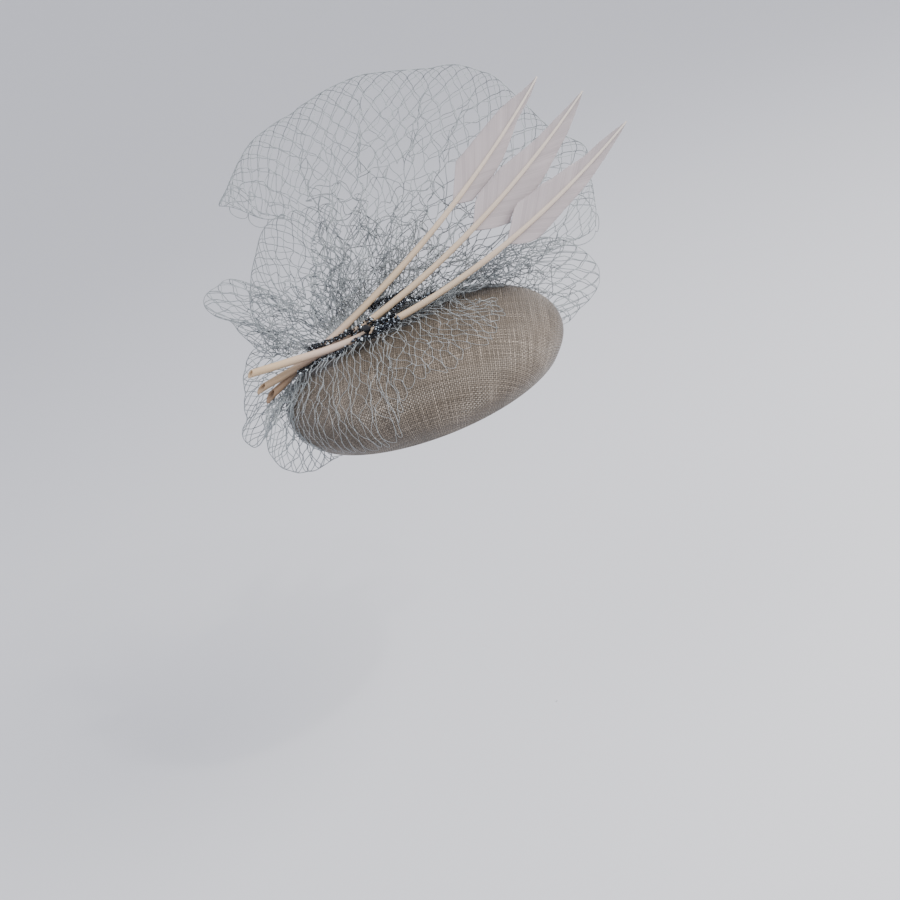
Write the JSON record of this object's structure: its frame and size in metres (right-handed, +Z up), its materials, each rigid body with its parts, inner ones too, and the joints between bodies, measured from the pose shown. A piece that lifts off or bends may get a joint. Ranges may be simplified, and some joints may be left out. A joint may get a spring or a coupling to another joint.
{
  "type": "veiled straw percher hat",
  "caption": "Small oval percher hat: a woven straw base with three arrow-trimmed quills, beaded trim and a gathered net veil.",
  "frame": {"origin": "centre of the oval opening, in the plane of the rim", "axes": "+Z up out of the crown, +X along the oval towards the quills' tips, -Y towards the viewer"},
  "size_m": [0.2676, 0.1847, 0.1721],
  "materials": {
    "straw": "woven, soft sheen",
    "comb": "satin",
    "quill": "natural quill, satin",
    "vane": "feather, matt with fine barbs",
    "bead": "faceted glass, dark, glossy",
    "net": "fine open net"
  },
  "bodies": {
    "root": {"straw_base": "straw", "hair_comb": "comb", "quill_1": "quill", "quill_2": "quill", "quill_3": "quill", "vane_1": "vane", "vane_2": "vane", "vane_3": "vane", "bead_row_upper": "bead", "bead_row_lower": "bead", "bead_row_inner": "bead", "bead_row_outer": "bead", "bead_bar_front": "bead", "bead_bar_top": "bead", "round_bead": "bead", "veil_gather": "net", "veil_side": "net", "veil_back": "net", "veil_ear": "net", "veil_left": "net", "veil_right": "net", "veil_hem": "net", "veil_front": "net"}
  },
  "joints": []
}
